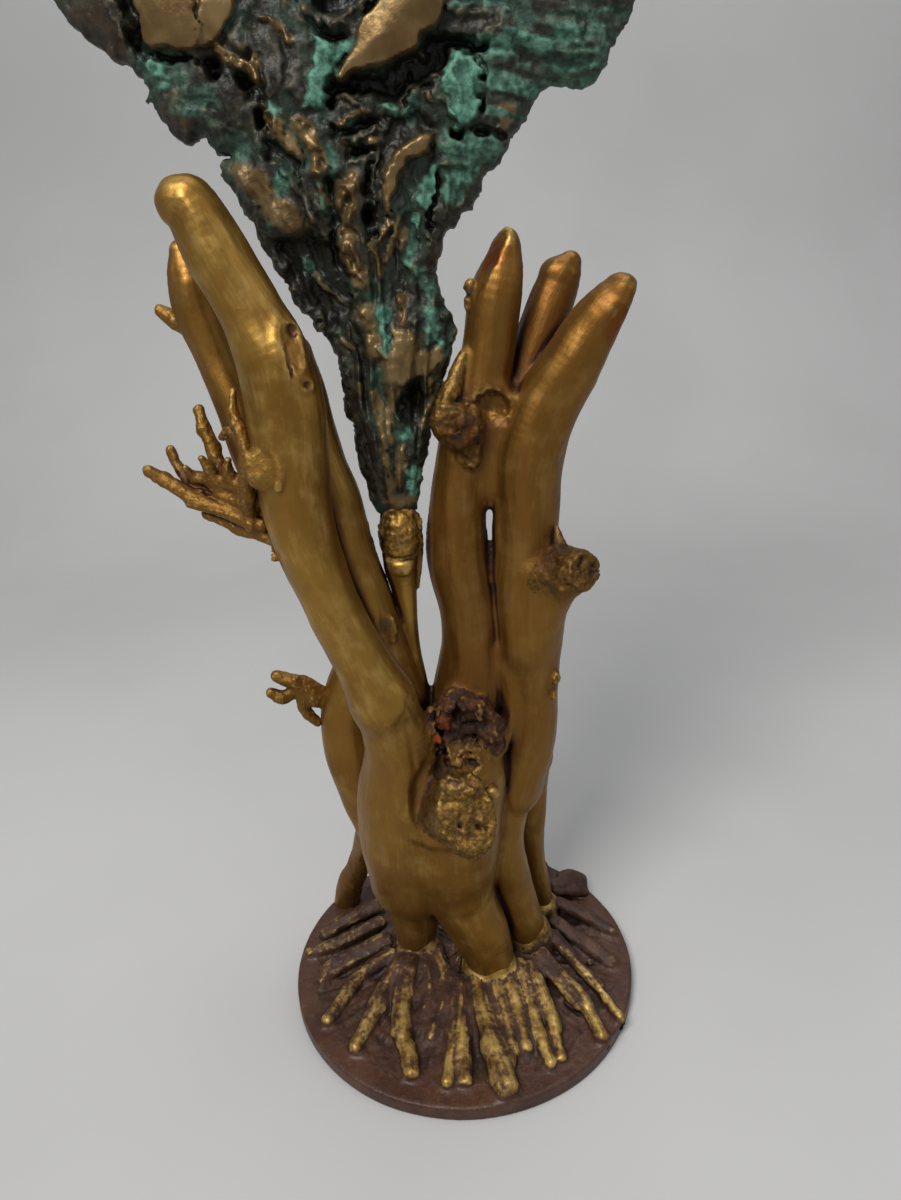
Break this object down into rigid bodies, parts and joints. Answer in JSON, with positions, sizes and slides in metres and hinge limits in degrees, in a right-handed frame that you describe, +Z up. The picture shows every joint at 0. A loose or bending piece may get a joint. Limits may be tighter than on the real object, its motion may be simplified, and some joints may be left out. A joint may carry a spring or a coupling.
{
  "type": "root wood sculpture",
  "caption": "Gilded root limbs rising like hands from clay roots on a round disc, holding up a flat crust-like crown with green patina.",
  "frame": {"origin": "centre of the wooden disc's underside, where it rests", "axes": "+Z up, -Y towards the front, +X to the right seen from the front"},
  "size_m": [0.2251, 0.18, 0.5502],
  "materials": {
    "gilded_wood": "bronze-gold paint over smooth root wood, satin, amber shellac in the hollows",
    "gilded_bark": "bronze-gold paint dry-brushed over rough bark",
    "gold_filler": "gold-painted filler, lumpy, satin",
    "dark_crust": "dark resinous crust with gold edges",
    "verdigris_crust": "near-black crust with turquoise verdigris paint and bronze high spots",
    "bronzed_bark": "smooth bronze paint, satin",
    "clay_roots": "dark brown modelled clay, dry-brushed gold on the ridges",
    "brown_disc": "dark red-brown paint, satin",
    "bare_wood": "unpainted beech, inside",
    "steel": "zinc-plated"
  },
  "bodies": {
    "root": {"back_left_root": "gilded_wood", "bark_knob": "gilded_bark", "base_disc": "brown_disc", "base_screws": "steel", "broken_knot": "dark_crust", "burl_crust": "dark_crust", "central_stem": "gilded_wood", "centre_leg": "gilded_wood", "clay_bed": "clay_roots", "clay_root_front_big": "clay_roots", "clay_root_front_fork": "clay_roots", "clay_root_front_left": "clay_roots", "clay_root_left_front": "clay_roots", "clay_root_right_big": "clay_roots", "clay_roots_back_left": "clay_roots", "clay_roots_back_right": "clay_roots", "clay_roots_front_pair": "clay_roots", "clay_roots_front_right": "clay_roots", "clay_roots_left": "clay_roots", "clay_roots_left_rear": "clay_roots", "clay_roots_right": "clay_roots", "clay_roots_right_front": "clay_roots", "clay_roots_right_rear": "clay_roots", "collar_centre": "clay_roots", "collar_far_right": "clay_roots", "collar_left": "clay_roots", "collar_right": "clay_roots", "crown_pin": "steel", "crown_plate_left": "bronzed_bark", "crown_plate_right": "bronzed_bark", "crown_slab": "verdigris_crust", "dowels": "bare_wood", "far_right_leg": "gilded_wood", "front_stub": "gilded_wood", "inner_left_limb": "gilded_wood", "inner_right_limb": "gilded_wood", "knot_stub_right": "gilded_wood", "left_leg": "gilded_wood", "left_low_lobe": "gilded_wood", "left_main_limb": "gilded_wood", "left_rear_limb": "gilded_wood", "left_rear_stub": "gilded_wood", "lower_twig": "gilded_wood", "lower_twig_fork": "gilded_wood", "lower_twig_spur": "gilded_wood", "middle_finger": "gilded_wood", "outer_right_limb": "gilded_wood", "resin_link": "gold_filler", "right_leg": "gilded_wood", "stem_collar": "gold_filler", "trunk_body": "gilded_wood", "twig_band_lower": "gilded_wood", "twig_band_upper": "gilded_wood", "twig_base": "gilded_wood", "twig_lower": "gilded_wood", "twig_middle": "gilded_wood", "twig_upper": "gilded_wood", "vine_strand": "gilded_wood"}
  },
  "joints": []
}
